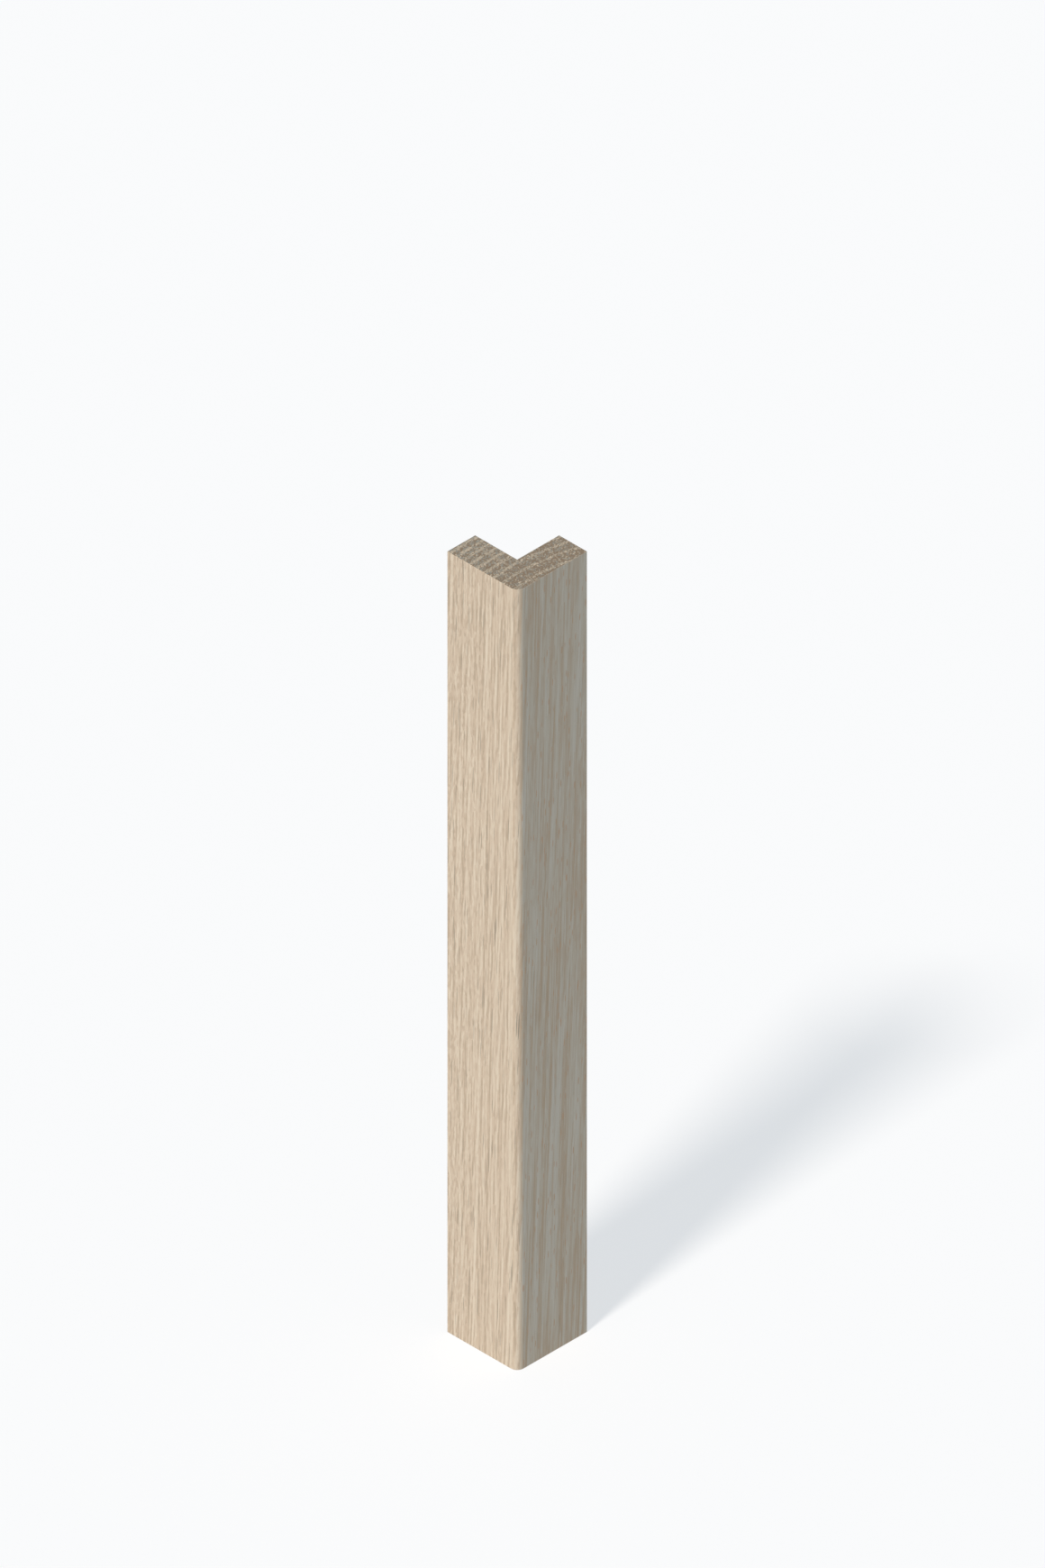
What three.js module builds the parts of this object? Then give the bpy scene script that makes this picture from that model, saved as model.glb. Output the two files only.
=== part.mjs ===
// Corner trim for the outside corner of a wall: one length of planed light oak.
// Its section is an L with two equal legs, and its outer arris is eased to a small round.
// Millimetres, +Z up the trim. The origin is at the foot of the inner corner, where the
// two wall faces meet: the wall fills the quarter with x below 0 and y above 0.

import * as THREE from "three";

// Driving dimensions
const legWidth = 30; // outside width of each leg, over the outer arris
const wallThickness = 12; // thickness of each leg
const arrisRadius = 2.7; // round on the outer arris
const length = 290; // from the foot to the top end, both cut square

// Finish
const oakColour = 0xd1bfa9; // pale oak with a thin matt oil
const oakRoughness = 0.62;
const arrisSteps = 16; // straight steps in the quarter circle of the arris

// The section seen from above, anticlockwise from the free edge of the front leg.
// The front leg runs along X in front of the wall, and the side leg runs along Y beside it.
function trimSection() {
  const outer = wallThickness; // both outer faces lie this far from the wall's corner
  const free = wallThickness - legWidth; // free edge of the front leg
  const section = new THREE.Shape();
  section.moveTo(free, -outer);
  section.lineTo(outer - arrisRadius, -outer);
  section.absarc(outer - arrisRadius, arrisRadius - outer, arrisRadius, -Math.PI / 2, 0, false);
  section.lineTo(outer, -free);
  section.lineTo(0, -free);
  section.lineTo(0, 0);
  section.lineTo(free, 0);
  section.closePath();
  return section;
}

// The trim is one solid: the section run straight up from the foot.
function cornerTrim() {
  const geometry = new THREE.ExtrudeGeometry(trimSection(), {
    depth: length,
    steps: 1,
    curveSegments: arrisSteps,
    bevelEnabled: false,
  });
  const oak = new THREE.MeshStandardMaterial({
    color: oakColour,
    roughness: oakRoughness,
    metalness: 0,
  });
  const trim = new THREE.Mesh(geometry, oak);
  trim.name = "corner_trim";
  return trim;
}

const part = new THREE.Group();
part.add(cornerTrim());

export default part;
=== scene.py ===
# Oak corner trim for the outside corner of a wall, standing on a pale studio floor.
# The pieces are in metres, and patterns in the wood are sized in millimetres.
import math

import bmesh
import bpy
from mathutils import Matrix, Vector


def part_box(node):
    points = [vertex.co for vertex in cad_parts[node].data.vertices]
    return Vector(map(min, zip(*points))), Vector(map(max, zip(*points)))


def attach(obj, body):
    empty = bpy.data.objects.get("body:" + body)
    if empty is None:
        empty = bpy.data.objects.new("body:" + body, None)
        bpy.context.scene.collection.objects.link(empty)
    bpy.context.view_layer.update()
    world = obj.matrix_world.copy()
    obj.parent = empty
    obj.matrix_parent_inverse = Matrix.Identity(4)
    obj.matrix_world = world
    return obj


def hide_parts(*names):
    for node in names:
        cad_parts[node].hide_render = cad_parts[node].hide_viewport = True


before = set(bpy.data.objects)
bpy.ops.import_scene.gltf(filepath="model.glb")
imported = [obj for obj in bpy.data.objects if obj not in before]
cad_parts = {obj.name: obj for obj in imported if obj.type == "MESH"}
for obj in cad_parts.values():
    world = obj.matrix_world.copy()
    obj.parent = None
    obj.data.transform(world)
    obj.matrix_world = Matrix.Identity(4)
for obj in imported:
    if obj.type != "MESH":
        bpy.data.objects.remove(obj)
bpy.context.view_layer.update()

studio = bpy.context.scene
mmInMetre = 1000


# Camera
# The picture is a true isometric view with no perspective, so one leg's width in pixels
# gives the scale, and the top of the arris gives the place.
cameraView = {
    "pictureWide": 1160,  # pixels
    "pictureHigh": 1740,
    "legAcross": 77.61,  # pixels from a leg's free edge to the arris
    "arrisAcross": 574.07,  # where the two outer faces and the top end would meet
    "arrisDown": 656.58,
    "turn": math.radians(45),  # round from the front, towards the side leg
    "tilt": math.asin(math.tan(math.radians(30))),  # looking down
    "distance": 2.0,
}


def setCamera(corner, legWidth):
    view = cameraView
    turn, tilt = view["turn"], view["tilt"]
    right = Vector((math.cos(turn), math.sin(turn), 0))
    back = Vector((math.sin(turn) * math.cos(tilt), -math.cos(turn) * math.cos(tilt), math.sin(tilt)))
    up = back.cross(right)
    pixelSize = legWidth * math.cos(turn) / view["legAcross"]
    across = (view["arrisAcross"] - view["pictureWide"] / 2) * pixelSize
    above = (view["pictureHigh"] / 2 - view["arrisDown"]) * pixelSize
    place = corner - right * across - up * above + back * view["distance"]
    bpy.ops.object.camera_add(location=place, rotation=(math.pi / 2 - tilt, 0, turn))
    camera = bpy.context.object
    camera.name = "isometric_camera"
    camera.data.type = "ORTHO"
    camera.data.ortho_scale = view["pictureHigh"] * pixelSize
    studio.camera = camera


cadLow, cadHigh = (Vector(corner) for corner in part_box("corner_trim"))
setCamera(Vector((cadHigh.x, cadLow.y, cadHigh.z)), cadHigh.x - cadLow.x)
print("camera set")


# The trim's shape
# A square post is pulled out into two legs, the outer arris is rounded, and every other
# outside edge is only broken, as with one stroke of fine paper.
trimShape = {
    "name": "oak_trim",
    "arrisRadius": 0.0027,
    "arrisSteps": 16,
    "brokenEdge": 0.00012,
    "brokenSteps": 2,
    "smoothUpTo": math.radians(50),  # the inner corner stays sharp
    "flatUpTo": math.radians(1),  # faces that meet flatter than this become one
    "squarely": 0.9,  # how far a face has to look along an axis to be picked by it
    "closeTo": 1e-5,
}


def pick(kind, test):
    mesh = bpy.context.edit_object.data
    bpy.ops.mesh.select_mode(type=kind)
    bpy.ops.mesh.select_all(action="DESELECT")
    shape = bmesh.from_edit_mesh(mesh)
    for item in {"FACE": shape.faces, "EDGE": shape.edges}[kind]:
        item.select_set(test(item))
    bmesh.update_edit_mesh(mesh)


def modelTrim():
    shape = trimShape
    wall, high = cadHigh.x, cadHigh.z
    squarely, near = shape["squarely"], shape["closeTo"]
    middle = (wall / 2, -wall / 2, high / 2)
    bpy.ops.object.select_all(action="DESELECT")
    bpy.ops.mesh.primitive_cube_add(size=1, location=middle, scale=(wall, wall, high))
    trim = bpy.context.object
    trim.name = shape["name"]
    trim.data.name = shape["name"]
    bpy.ops.object.transform_apply(location=True, rotation=True, scale=True)
    bpy.ops.object.mode_set(mode="EDIT")

    pick("FACE", lambda face: face.normal.x < -squarely)  # front leg
    bpy.ops.mesh.extrude_region_move(TRANSFORM_OT_translate={"value": (cadLow.x, 0, 0)})
    pick("FACE", lambda face: face.normal.y > squarely and face.calc_center_median().x > 0)  # side leg
    bpy.ops.mesh.extrude_region_move(TRANSFORM_OT_translate={"value": (0, cadHigh.y, 0)})

    def onUpright(edge, x, y):
        return all(abs(end.co.x - x) < near and abs(end.co.y - y) < near for end in edge.verts)

    pick("EDGE", lambda edge: onUpright(edge, wall, -wall))
    bpy.ops.mesh.bevel(offset=shape["arrisRadius"], segments=shape["arrisSteps"], affect="EDGES")
    bpy.ops.mesh.select_all(action="SELECT")
    bpy.ops.mesh.dissolve_limited(angle_limit=shape["flatUpTo"])
    pick("EDGE", lambda edge: edge.calc_face_angle() > shape["smoothUpTo"] and not onUpright(edge, 0, 0))
    bpy.ops.mesh.bevel(offset=shape["brokenEdge"], segments=shape["brokenSteps"], affect="EDGES")
    bpy.ops.mesh.select_all(action="SELECT")
    bpy.ops.mesh.normals_make_consistent(inside=False)
    bpy.ops.object.mode_set(mode="OBJECT")

    bpy.ops.object.shade_smooth_by_angle(angle=shape["smoothUpTo"])
    evened = trim.modifiers.new("even faces", "WEIGHTED_NORMAL")
    evened.keep_sharp = True
    bpy.ops.object.modifier_apply(modifier=evened.name)
    return trim


trim = modelTrim()
print("trim modelled:", len(trim.data.polygons), "faces")


# Unrolling the trim
# The outer faces and the arris lie as one strip, with the other faces beside it. Each entry
# holds a patch's left and low pixel, and its pixels for each millimetre across and up.
bakeLayout = {
    "pixels": 1024,  # the whole layout, both ways
    "outside": (4, 4, 9.4, 3.5),
    "frontEdge": (563, 4, 7.0, 3.5),
    "sideEdge": (653, 4, 7.0, 3.5),
    "frontBack": (743, 4, 7.4, 2.52),
    "sideBack": (883, 4, 7.4, 2.52),
    "top": (745, 748, 9.0, 9.0),
    "foot": (750, 862, 5.0, 5.0),  # in the notch of the top end
}
endTilt = 0.7  # a face that looks further up or down than this is end grain


def patchOf(face):
    normal, middle = face.normal, face.center
    if abs(normal.z) > endTilt:
        return "top" if normal.z > 0 else "foot"
    if normal.y > abs(normal.x):
        return "frontBack" if middle.x < 0 else "sideEdge"
    if -normal.x >= abs(normal.y):
        return "sideBack" if middle.y > 0 else "frontEdge"
    return "outside"


def roundOutside(point):
    radius = trimShape["arrisRadius"]
    middle = cadHigh.x - radius
    if point.x < middle:
        return point.x - cadLow.x
    start = middle - cadLow.x
    if point.y > -middle:
        return start + radius * math.pi / 2 + point.y + middle
    return start + radius * math.atan2(point.x - middle, -middle - point.y)


def unrollTrim(trim):
    across = {
        "outside": roundOutside,
        "frontEdge": lambda point: -point.y,
        "sideEdge": lambda point: cadHigh.x - point.x,
        "frontBack": lambda point: -point.x,
        "sideBack": lambda point: cadHigh.y - point.y,
        "top": lambda point: point.x - cadLow.x,
        "foot": lambda point: cadHigh.x - point.x,
    }
    mesh = trim.data
    unrolled = mesh.uv_layers.new(name="OFBake")
    for face in mesh.polygons:
        patch = patchOf(face)
        left, low, wide, high = bakeLayout[patch]
        for loop in face.loop_indices:
            point = mesh.vertices[mesh.loops[loop].vertex_index].co
            rise = point.y - cadLow.y if patch in ("top", "foot") else point.z
            run = across[patch](point)
            pixel = Vector((left + run * mmInMetre * wide, low + rise * mmInMetre * high))
            unrolled.data[loop].uv = pixel / bakeLayout["pixels"]


unrollTrim(trim)
print("trim unrolled")


# Building material nodes
middleTone = 0.5  # noise and random values lie about this


def newMaterial(name):
    made = bpy.data.materials.new(name)
    made.use_nodes = True
    return made, made.node_tree, made.node_tree.nodes["Principled BSDF"]


def addNode(tree, kind, sockets=(), **settings):
    made = tree.nodes.new("ShaderNode" + kind)
    for name, value in settings.items():
        setattr(made, name, value)
    for name, value in dict(sockets).items():
        if isinstance(value, bpy.types.NodeSocket):
            tree.links.new(value, made.inputs[name])
        else:
            made.inputs[name].default_value = value
    return made


def calc(tree, operation, *values):
    return addNode(tree, "Math", enumerate(values), operation=operation).outputs[0]


def calcVector(tree, operation, *values):
    return addNode(tree, "VectorMath", enumerate(values), operation=operation).outputs["Vector"]


def scaleVector(tree, vector, amount):
    made = addNode(tree, "VectorMath", {0: vector, "Scale": amount}, operation="SCALE")
    return made.outputs["Vector"]


def axisOf(tree, vector, axis):
    return addNode(tree, "SeparateXYZ", {0: vector}).outputs[axis]


def fade(tree, value, start, end, low=0.0, high=1.0):
    sockets = {"Value": value, "From Min": start, "From Max": end, "To Min": low, "To Max": high}
    return addNode(tree, "MapRange", sockets, interpolation_type="SMOOTHSTEP").outputs[0]


def vary(tree, tone, value, weight):
    swing = calc(tree, "SUBTRACT", value, middleTone)
    return calc(tree, "MULTIPLY_ADD", swing, weight, tone)


def mixColour(tree, amount, first, second):
    return addNode(tree, "Mix", {0: amount, 6: first, 7: second}, data_type="RGBA").outputs[2]


def colourSteps(tree, value, steps):
    made = addNode(tree, "ValToRGB", {"Fac": value})
    ramp = made.color_ramp
    while len(ramp.elements) < len(steps):
        ramp.elements.new(steps[-1][0])
    for element, (at, colour) in zip(ramp.elements, steps):
        element.position = at
        element.color = (*colour, 1)
    return made.outputs["Color"]


def noiseIn(tree, place, size, detail=1.0):
    sized = calcVector(tree, "DIVIDE", place, size)
    return addNode(tree, "TexNoise", {"Vector": sized, "Scale": 1.0, "Detail": detail})


def cellsIn(tree, place, size):
    sized = calcVector(tree, "DIVIDE", place, size)
    return addNode(tree, "TexVoronoi", {"Vector": sized, "Scale": 1.0})


def cellColour(tree, cells):
    return addNode(tree, "SeparateColor", {0: cells.outputs["Color"]}).outputs


def randomIn(tree, place, size):
    return cellColour(tree, cellsIn(tree, place, size))["Red"]


def pairedIn(tree, place, size, gap):
    beside = calcVector(tree, "ADD", place, gap)
    return calc(tree, "SUBTRACT", randomIn(tree, place, size), randomIn(tree, beside, size))


def finishSurface(tree, surface, colour, rough, relief, depth):
    bump = addNode(tree, "Bump", {"Height": relief, "Strength": 1.0, "Distance": depth})
    tree.links.new(colour, surface.inputs["Base Color"])
    tree.links.new(rough, surface.inputs["Roughness"])
    tree.links.new(bump.outputs[0], surface.inputs["Normal"])


# Oak
# One block of wood serves every face. Its three directions are out across the rings, round
# along them, and up the trim, all in millimetres.
oakGrain = {
    "lean": (0.025, 0.035, 0.0),  # how far the fibres lean, in millimetres for each one down
    "leanFrom": 290.0,
    "swaySize": (60, 60, 160),
    "sway": (0.6, 0.5, 0.0),
    "pith": (76.0, -4.0, 0.0),  # the heart of the tree, outside the trim
    "firstRing": 64.0,  # from the pith to the side leg's outer face
    "ringsAcross": 0.19,  # rings in a millimetre at the first one
    "ringsTighten": 0.0036,  # and how they close up further out
    "ringShift": -0.25,
    "ringWobbleSize": (6, 6, 200),
    "ringWobbleDetail": 2.0,
    "ringWobble": 1.1,
    "springShare": 0.2,  # how much of the first ring is open spring wood
    "springWidens": 0.009,
    "springFade": 0.07,  # the share of a ring in which it comes or goes
    "poreSize": (0.5, 0.8, 20),
    "longSplinterSize": (0.45, 4.0, 70),  # thin across the rings
    "splinterSize": (0.42, 3.0, 9),
    "shortSplinterSize": (0.42, 2.0, 2.0),
    "splinterGap": (0.8, 0.0, 0.0),  # a pale splinter has a dark one this far beside it
    "sheetSize": (4.0, 0.5, 24),  # thin along the rings
    "shortSheetSize": (2.5, 0.45, 5),
    "streakSize": (1.4, 9.0, 60),
    "broadStreakSize": (9.0, 1.5, 110),
    "raySize": (30, 1.0, 8),
}


def leaningFibres(tree):
    oak = oakGrain
    place = scaleVector(tree, addNode(tree, "TexCoord").outputs["Object"], mmInMetre)
    below = calc(tree, "SUBTRACT", oak["leanFrom"], axisOf(tree, place, "Z"))
    leant = scaleVector(tree, oak["lean"], below)
    sway = noiseIn(tree, place, oak["swaySize"]).outputs["Color"]
    sway = calcVector(tree, "SUBTRACT", sway, (middleTone, middleTone, middleTone))
    sway = calcVector(tree, "MULTIPLY", sway, oak["sway"])
    return calcVector(tree, "ADD", calcVector(tree, "ADD", place, leant), sway)


def oakInside(tree):
    oak = oakGrain
    fibres = leaningFibres(tree)
    fromPith = calcVector(tree, "SUBTRACT", fibres, oak["pith"])
    # X is turned round, so that the angle's jump lies on the far side of the pith
    turned = addNode(tree, "SeparateXYZ", {0: calcVector(tree, "MULTIPLY", fromPith, (-1, 1, 1))}).outputs
    squares = [calc(tree, "POWER", turned[axis], 2.0) for axis in "XY"]
    outward = calc(tree, "SQRT", calc(tree, "ADD", *squares))
    outward = calc(tree, "SUBTRACT", outward, oak["firstRing"])
    wobble = noiseIn(tree, fibres, oak["ringWobbleSize"], oak["ringWobbleDetail"]).outputs["Fac"]
    outward = vary(tree, outward, wobble, oak["ringWobble"])
    along = calc(tree, "MULTIPLY", calc(tree, "ARCTAN2", turned["Y"], turned["X"]), oak["firstRing"])
    wood = addNode(tree, "CombineXYZ", {"X": outward, "Y": along, "Z": turned["Z"]}).outputs[0]

    closeness = calc(tree, "MULTIPLY_ADD", outward, oak["ringsTighten"], oak["ringsAcross"])
    rings = calc(tree, "MULTIPLY_ADD", outward, closeness, oak["ringShift"])
    year = calc(tree, "FRACT", rings)
    springEnd = calc(tree, "MULTIPLY_ADD", outward, oak["springWidens"], oak["springShare"])
    summerStart = calc(tree, "ADD", springEnd, oak["springFade"])
    opening = fade(tree, year, 0.0, oak["springFade"])
    closing = fade(tree, year, summerStart, springEnd)
    return wood, calc(tree, "MULTIPLY", opening, closing)


# Planed long grain
# The front leg's faces are cut across the rings and the side leg's along them, so each
# direction has its own splinters and tones. A pair of values goes from the first to the
# second, and a weight says how far one pattern moves the tone.
longGrain = {
    "cutAlong": (0.8, 0.98),  # how far a face looks along X, from cut across to cut along
    "acrossTones": [
        (0.22, (0.475, 0.37, 0.262)),
        (0.36, (0.565, 0.437, 0.314)),
        (0.50, (0.612, 0.487, 0.359)),
        (0.64, (0.65, 0.533, 0.398)),
        (0.80, (0.705, 0.594, 0.455)),
    ],
    "splinterWeight": 0.29,
    "longSplinterWeight": 0.23,
    "shortSplinterDepth": (5.0, 24.0),  # millimetres out across the rings
    "shortSplinterWeight": (0.18, 0.36),
    "streakWeight": 0.5,
    "springWeight": -0.03,
    "alongTones": [
        (0.20, (0.52, 0.38, 0.25)),
        (0.40, (0.55, 0.43, 0.305)),
        (0.55, (0.585, 0.492, 0.37)),
        (0.80, (0.63, 0.55, 0.44)),
    ],
    "sheetWeight": 0.38,
    "shortSheetWeight": 0.2,
    "broadStreakWeight": 1.05,
    "paintedArrisHighlight": (0.7, 0.6, 0.46, 1),  # a painted highlight: a pale line where the front face turns into the arris
    "paintedHighlightStrength": 0.35,
    "paintedHighlightFrom": (0.0087, 0.009),  # where it comes and goes, in metres along X
    "paintedHighlightTo": (0.0101, 0.0097),
    "pore": (0.3, 0.25, 0.185, 1),
    "poreReach": (0.22, 0.33),  # share of a cell, in summer and in spring wood
    "poreEdge": 0.05,
    "poreChance": (0.1, 1.0),
    "poreDepth": (0.12, 0.95),  # from the faintest to the deepest
    "poreStrength": (0.95, 0.15),  # where cut across the rings and along them
    "rayEnd": (0.56, 0.345, 0.205, 1),
    "rayReach": (0.2, 0.15),
    "roughness": 0.54,
    "lineRoughness": 0.12,
    "poreRoughness": 0.16,
    "lineRelief": 0.4,
    "poreRelief": -0.8,
    "bumpDepth": 0.00004,
}


def acrossColour(tree, inside, spring, splinterPair):
    wood = longGrain
    oak = oakGrain
    longPair = pairedIn(tree, inside, oak["longSplinterSize"], oak["splinterGap"])
    short = randomIn(tree, inside, oak["shortSplinterSize"])
    depth = axisOf(tree, inside, "X")
    shortWeight = fade(tree, depth, *wood["shortSplinterDepth"], *wood["shortSplinterWeight"])
    streak = noiseIn(tree, inside, oak["streakSize"]).outputs["Fac"]
    tone = calc(tree, "MULTIPLY_ADD", splinterPair, wood["splinterWeight"], middleTone)
    tone = calc(tree, "MULTIPLY_ADD", longPair, wood["longSplinterWeight"], tone)
    tone = vary(tree, tone, short, shortWeight)
    tone = vary(tree, tone, streak, wood["streakWeight"])
    tone = calc(tree, "MULTIPLY_ADD", spring, wood["springWeight"], tone)
    return colourSteps(tree, tone, wood["acrossTones"])


def alongColour(tree, inside, sheet):
    wood = longGrain
    oak = oakGrain
    shortSheet = randomIn(tree, inside, oak["shortSheetSize"])
    broad = noiseIn(tree, inside, oak["broadStreakSize"]).outputs["Fac"]
    tone = vary(tree, middleTone, sheet, wood["sheetWeight"])
    tone = vary(tree, tone, shortSheet, wood["shortSheetWeight"])
    tone = vary(tree, tone, broad, wood["broadStreakWeight"])
    return colourSteps(tree, tone, wood["alongTones"])


def openPores(tree, inside, spring):
    wood = longGrain
    cells = cellsIn(tree, inside, oakGrain["poreSize"])
    reach = fade(tree, spring, 0.0, 1.0, *wood["poreReach"])
    within = calc(tree, "SUBTRACT", reach, cells.outputs["Distance"])
    depth = fade(tree, cellColour(tree, cells)["Red"], *wood["poreChance"], *wood["poreDepth"])
    return calc(tree, "MULTIPLY", fade(tree, within, 0.0, wood["poreEdge"]), depth)


def planedOak():
    wood = longGrain
    oak = oakGrain
    material, tree, surface = newMaterial("planed oak")
    inside, spring = oakInside(tree)
    coordinates = addNode(tree, "TexCoord").outputs
    facing = calc(tree, "ABSOLUTE", axisOf(tree, coordinates["Normal"], "X"))
    along = fade(tree, facing, *wood["cutAlong"])  # 1 on faces cut along the rings

    splinterPair = pairedIn(tree, inside, oak["splinterSize"], oak["splinterGap"])
    sheet = randomIn(tree, inside, oak["sheetSize"])
    across = acrossColour(tree, inside, spring, splinterPair)
    colour = mixColour(tree, along, across, alongColour(tree, inside, sheet))

    # Painted highlight: a pale straight line down the front face where it turns into the arris, placed by
    # its place along X
    place = axisOf(tree, coordinates["Object"], "X")
    coming = fade(tree, place, *wood["paintedHighlightFrom"])
    paintedArrisHighlight = calc(tree, "MULTIPLY", coming, fade(tree, place, *wood["paintedHighlightTo"]))
    paintedArrisHighlight = calc(tree, "MULTIPLY", paintedArrisHighlight, wood["paintedHighlightStrength"])
    colour = mixColour(tree, paintedArrisHighlight, colour, wood["paintedArrisHighlight"])

    pore = openPores(tree, inside, spring)
    poreStrength = fade(tree, along, 0.0, 1.0, *wood["poreStrength"])
    colour = mixColour(tree, calc(tree, "MULTIPLY", pore, poreStrength), colour, wood["pore"])
    rays = fade(tree, cellsIn(tree, inside, oak["raySize"]).outputs["Distance"], *wood["rayReach"])
    rays = calc(tree, "MULTIPLY", calc(tree, "MULTIPLY", along, along), rays)
    colour = mixColour(tree, rays, colour, wood["rayEnd"])

    splinter = calc(tree, "MULTIPLY_ADD", splinterPair, 0.5, 0.5)  # back to between 0 and 1
    lines = addNode(tree, "Mix", {0: along, 2: splinter, 3: sheet}, data_type="FLOAT").outputs[0]
    rough = calc(tree, "MULTIPLY_ADD", lines, wood["lineRoughness"], wood["roughness"])
    rough = calc(tree, "MULTIPLY_ADD", pore, wood["poreRoughness"], rough)
    relief = calc(tree, "MULTIPLY", lines, wood["lineRelief"])
    relief = calc(tree, "MULTIPLY_ADD", pore, wood["poreRelief"], relief)
    finishSurface(tree, surface, colour, rough, relief, wood["bumpDepth"])
    return material


# Sawn end grain
# Each small cell is one speck. Pale specks crowd in the spring wood, and grey ones among
# the brown are commoner further out across the rings.
endGrain = {
    "speckSize": (0.34, 0.38, 30),
    "speckEdge": 0.04,
    "depth": (0.0, 24.0),  # millimetres out across the rings
    "summer": (0.242, 0.172, 0.11, 1),
    "grey": (0.275, 0.25, 0.202, 1),
    "greyShare": (0.22, 0.46),  # from the first ring to the depth above
    "spring": (0.435, 0.358, 0.262, 1),
    "brightest": (0.58, 0.46, 0.33, 1),
    "brightestFrom": (0.78, 0.86),
    "paleInSpring": (0.56, 0.78),  # the share of pale specks, from the first ring outward
    "paleInSummer": 0.14,
    "ray": (0.4, 0.32, 0.23, 1),
    "rayReach": (0.28, 0.18),
    "rayStrength": 0.6,
    "vesselReach": (0.3, 0.14),  # the dark middle of a speck
    "vesselStrength": 0.3,
    "roughness": 0.78,
    "vesselRoughness": 0.1,
    "paleRelief": 0.5,
    "bumpDepth": 0.00005,
}


def speckled(tree, share, chance):
    edge = endGrain["speckEdge"]
    return fade(tree, calc(tree, "SUBTRACT", share, chance), -edge, edge)


def sawnOak():
    wood = endGrain
    material, tree, surface = newMaterial("sawn oak end")
    inside, spring = oakInside(tree)
    specks = cellsIn(tree, inside, wood["speckSize"])
    chance = cellColour(tree, specks)
    depth = axisOf(tree, inside, "X")

    greyShare = fade(tree, depth, *wood["depth"], *wood["greyShare"])
    grey = speckled(tree, greyShare, chance["Green"])
    colour = mixColour(tree, grey, wood["summer"], wood["grey"])
    paleInSpring = fade(tree, depth, *wood["depth"], *wood["paleInSpring"])
    paleShare = fade(tree, spring, 0.0, 1.0, wood["paleInSummer"], paleInSpring)
    pale = speckled(tree, paleShare, chance["Red"])
    brightest = fade(tree, chance["Blue"], *wood["brightestFrom"])
    bright = mixColour(tree, brightest, wood["spring"], wood["brightest"])
    colour = mixColour(tree, pale, colour, bright)

    rays = fade(tree, cellsIn(tree, inside, oakGrain["raySize"]).outputs["Distance"], *wood["rayReach"])
    colour = mixColour(tree, calc(tree, "MULTIPLY", rays, wood["rayStrength"]), colour, wood["ray"])
    vessel = fade(tree, specks.outputs["Distance"], *wood["vesselReach"])
    darkened = calc(tree, "MULTIPLY", vessel, wood["vesselStrength"])
    colour = mixColour(tree, darkened, colour, wood["summer"])

    rough = calc(tree, "MULTIPLY_ADD", vessel, wood["vesselRoughness"], wood["roughness"])
    relief = calc(tree, "SUBTRACT", calc(tree, "MULTIPLY", pale, wood["paleRelief"]), vessel)
    finishSurface(tree, surface, colour, rough, relief, wood["bumpDepth"])
    return material


def finishTrim(trim):
    trim.data.materials.append(planedOak())
    trim.data.materials.append(sawnOak())
    for face in trim.data.polygons:
        face.material_index = 1 if abs(face.normal.z) > endTilt else 0


finishTrim(trim)
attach(trim, "root")
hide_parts("corner_trim")
print("oak finished")


# Floor and light
# The floor glows a little, so that it stays near white and the shadow on it stays light.
studioSet = {
    "floorSize": 12.0,
    "floorColour": (0.25, 0.25, 0.25, 1),
    "glowColour": (1, 1, 1, 1),
    "floorGlow": 0.47,
    "floorLook": 0.7,  # the glow that the camera sees
    "keyPlace": (0, -1, 1),  # a sun lights alike from any place
    "keyTurn": math.radians(9.3),  # from square on to the front leg, towards the side leg
    "keyRise": math.radians(54),
    "keyStrength": 3.78,
    "keySoftness": math.radians(8),
    "keyColour": (1.0, 0.913, 0.827),
    "skyColour": (0.04, 0.16, 0.28, 1),
    "skyStrength": 1.0,
    "backdropColour": (0.955, 0.965, 0.974, 1),  # what the camera sees past the floor
}


def layFloor():
    bpy.ops.mesh.primitive_plane_add(size=studioSet["floorSize"])
    floor = bpy.context.object
    floor.name = "studio_floor"
    material, tree, surface = newMaterial("pale floor")
    surface.inputs["Base Color"].default_value = studioSet["floorColour"]
    surface.inputs["Roughness"].default_value = 1.0
    surface.inputs["Specular IOR Level"].default_value = 0.0
    surface.inputs["Emission Color"].default_value = studioSet["glowColour"]
    seen = addNode(tree, "LightPath").outputs["Is Camera Ray"]
    glow = fade(tree, seen, 0.0, 1.0, studioSet["floorGlow"], studioSet["floorLook"])
    tree.links.new(glow, surface.inputs["Emission Strength"])
    floor.data.materials.append(material)


def hangKeyLight():
    aim = (math.pi / 2 - studioSet["keyRise"], 0, studioSet["keyTurn"])
    bpy.ops.object.light_add(type="SUN", location=studioSet["keyPlace"], rotation=aim)
    key = bpy.context.object
    key.name = "front_softbox"
    key.data.angle = studioSet["keySoftness"]
    key.data.energy = studioSet["keyStrength"]
    key.data.color = studioSet["keyColour"]


def fillFromSky():
    sky = bpy.data.worlds.new("studio sky")
    sky.use_nodes = True
    tree = sky.node_tree
    fill = tree.nodes["Background"]
    fill.inputs["Color"].default_value = studioSet["skyColour"]
    fill.inputs["Strength"].default_value = studioSet["skyStrength"]
    backdrop = addNode(tree, "Background", {"Color": studioSet["backdropColour"]})
    seen = addNode(tree, "LightPath").outputs["Is Camera Ray"]
    both = addNode(tree, "MixShader", {0: seen, 1: fill.outputs[0], 2: backdrop.outputs[0]})
    tree.links.new(both.outputs[0], tree.nodes["World Output"].inputs["Surface"])
    studio.world = sky


layFloor()
hangKeyLight()
fillFromSky()
studio.view_settings.view_transform = "Standard"
print("floor and light set")
